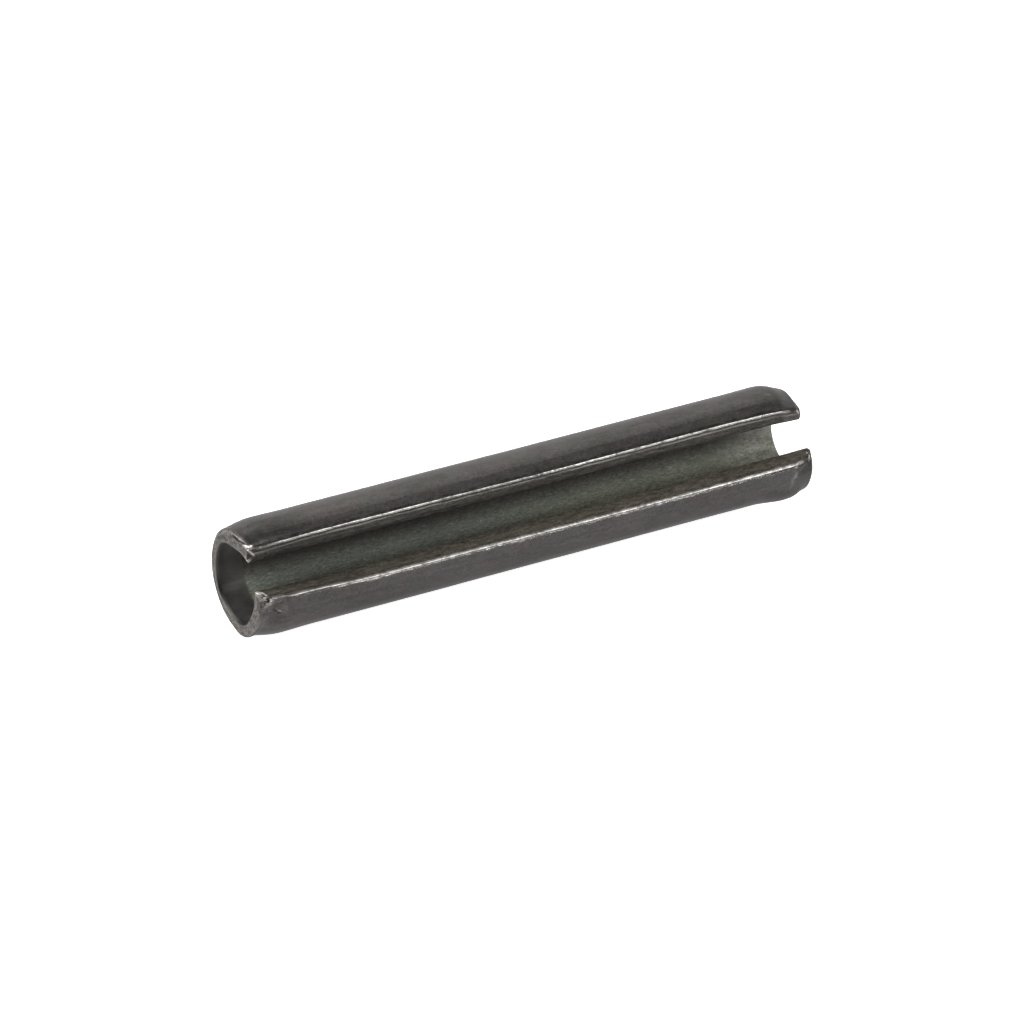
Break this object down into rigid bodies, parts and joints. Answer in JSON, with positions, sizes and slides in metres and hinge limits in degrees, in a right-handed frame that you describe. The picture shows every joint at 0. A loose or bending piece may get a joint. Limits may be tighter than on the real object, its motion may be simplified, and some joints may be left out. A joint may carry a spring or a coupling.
{
  "type": "slotted spring pin",
  "caption": "Slotted spring pin: a rolled spring-steel tube with an open slot and tapered ends, driven into a drilled hole to lock or locate two parts.",
  "frame": {"origin": "on the pin's axis at mid-length", "axes": "+X along the pin's axis, +Z from the axis through the middle of the slot, so the pin lies on its back with the slot up"},
  "size_m": [0.06, 0.0108, 0.01],
  "materials": {
    "oxide_steel": "hardened spring steel with a dark grey heat-treatment oxide, satin, lightly oiled, worn bright along the sheared slot edges"
  },
  "bodies": {
    "root": {"spring_pin": "oxide_steel"}
  },
  "joints": []
}
